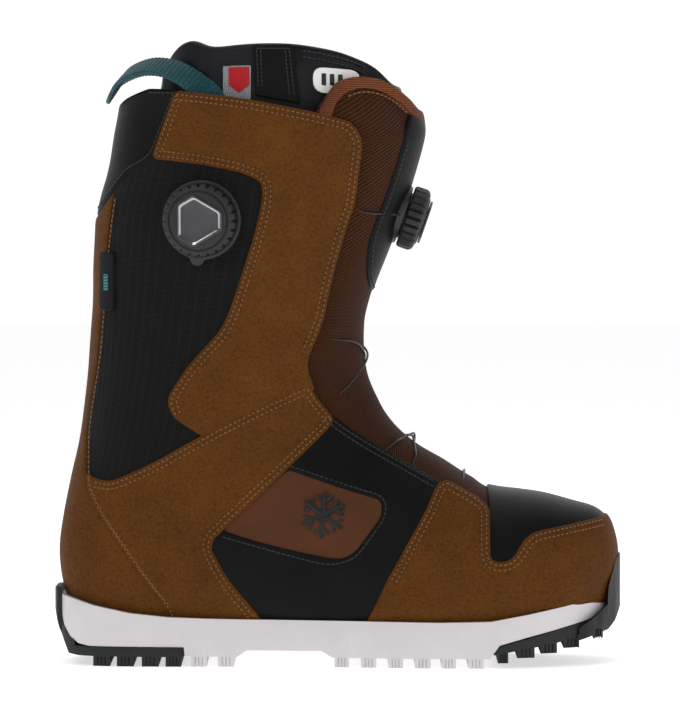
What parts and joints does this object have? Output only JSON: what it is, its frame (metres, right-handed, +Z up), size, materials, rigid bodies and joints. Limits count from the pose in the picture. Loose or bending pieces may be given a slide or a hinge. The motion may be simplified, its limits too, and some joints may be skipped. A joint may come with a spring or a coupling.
{
  "type": "snowboard boot",
  "caption": "Right snowboard boot with a lugged cup sole, leather and ripstop upper, opening tongue, separate liner and two turning, pull-out lace dials.",
  "frame": {"origin": "on the ground plane under the middle of the sole, on a tread lug", "axes": "+X towards the toe, +Z up, -Y towards the outer side of the right foot"},
  "size_m": [0.2999, 0.117, 0.3307],
  "materials": {
    "eva": "matt moulded EVA foam",
    "rubber": "matt moulded rubber",
    "board": "pressed fibre board",
    "foam": "closed-cell foam",
    "brown_leather": "oiled brown leather",
    "black_leather": "smooth black leather",
    "suede": "brushed suede",
    "ripstop": "coated ripstop cloth",
    "tongue_cloth": "ribbed brown cloth",
    "lining_cloth": "brushed knit",
    "liner_skin": "semi-gloss synthetic",
    "label_cloth": "woven label",
    "badge_plastic": "glossy",
    "black_plastic": "fine moulded texture",
    "spool_plastic": "natural nylon",
    "steel": "plated",
    "lace_cord": "coated braided cord",
    "webbing": "ribbed teal webbing",
    "emblem_rubber": "moulded, semi-gloss"
  },
  "bodies": {
    "shell": {"midsole": "eva", "heel_outsole": "rubber", "toe_outsole": "rubber", "lasting_board": "board", "underfoot_foam": "foam", "footbed": "foam", "toe_cap": "brown_leather", "vamp": "black_leather", "back_stay": "brown_leather", "rear_collar": "ripstop", "heel_strap_outer": "brown_leather", "heel_strap_inner": "brown_leather", "cuff_overlay_outer": "brown_leather", "cuff_overlay_inner": "brown_leather", "cuff_panel_outer": "ripstop", "cuff_panel_inner": "ripstop", "quarter_outer": "black_leather", "quarter_inner": "black_leather", "quarter_window_outer": "suede", "quarter_window_inner": "suede", "emblem_outer": "emblem_rubber", "emblem_inner": "emblem_rubber", "shell_lining": "lining_cloth", "tongue_lower": "tongue_cloth", "tongue_gusset_outer": "tongue_cloth", "tongue_gusset_inner": "tongue_cloth", "ankle_harness": "lining_cloth", "harness_cable_front": "lace_cord", "harness_cable_rear": "lace_cord", "liner": "liner_skin", "liner_tongue": "liner_skin", "liner_pull_strap": "liner_skin", "liner_label": "label_cloth", "liner_badge": "badge_plastic", "rear_pull_loop": "webbing", "side_tab": "ripstop", "lace": "lace_cord", "side_dial_base": "black_plastic", "side_dial_screw": "steel"},
    "tongue": {"tongue_upper": "tongue_cloth", "tongue_shield": "black_leather", "tongue_binding": "brown_leather", "tongue_dial_base": "black_plastic", "tongue_dial_screw": "steel"},
    "side_dial_carrier": {"side_dial_drive_disc": "spool_plastic"},
    "side_dial_grip": {"side_dial_knob": "black_plastic", "side_dial_cap": "black_plastic"},
    "side_dial_reel": {"side_dial_spool": "spool_plastic"},
    "tongue_dial_carrier": {"tongue_dial_drive_disc": "spool_plastic"},
    "tongue_dial_grip": {"tongue_dial_knob": "black_plastic", "tongue_dial_cap": "black_plastic"},
    "tongue_dial_reel": {"tongue_dial_spool": "spool_plastic"}
  },
  "joints": [
    {"name": "tongue_open", "type": "hinge", "parent": "shell", "child": "tongue", "pos_m": [0.0172, 0, 0.196], "axis": [0, 1, 0], "range_deg": [0, 20], "stiffness_Nm_per_rad": 3, "springref_deg": -5.73, "deforming": ["lace", "tongue_gusset_outer", "tongue_gusset_inner"]},
    {"name": "side_dial_pull", "type": "slide", "parent": "shell", "child": "side_dial_carrier", "axis": [-0.1514, -0.9876, -0.0423], "range_m": [0, 0.0025]},
    {"name": "side_dial_turn", "type": "hinge", "parent": "side_dial_carrier", "child": "side_dial_grip", "pos_m": [-0.072, -0.04776, 0.23597], "axis": [-0.1514, -0.9876, -0.0423], "continuous": true},
    {"name": "side_dial_reel_turn", "type": "hinge", "parent": "shell", "child": "side_dial_reel", "pos_m": [-0.072, -0.04776, 0.23597], "axis": [-0.1514, -0.9876, -0.0423], "continuous": true},
    {"name": "tongue_dial_pull", "type": "slide", "parent": "tongue", "child": "tongue_dial_carrier", "axis": [0.945, 0, -0.3271], "range_m": [0, 0.0025]},
    {"name": "tongue_dial_turn", "type": "hinge", "parent": "tongue_dial_carrier", "child": "tongue_dial_grip", "pos_m": [0.0329, 0, 0.2385], "axis": [0.945, 0, -0.3271], "continuous": true},
    {"name": "tongue_dial_reel_turn", "type": "hinge", "parent": "tongue", "child": "tongue_dial_reel", "pos_m": [0.0329, 0, 0.2385], "axis": [0.945, 0, -0.3271], "continuous": true}
  ],
  "couplings": [
    {"joint": "side_dial_reel_turn", "follows": "side_dial_turn", "ratio": 1},
    {"joint": "tongue_dial_reel_turn", "follows": "tongue_dial_turn", "ratio": 1}
  ]
}
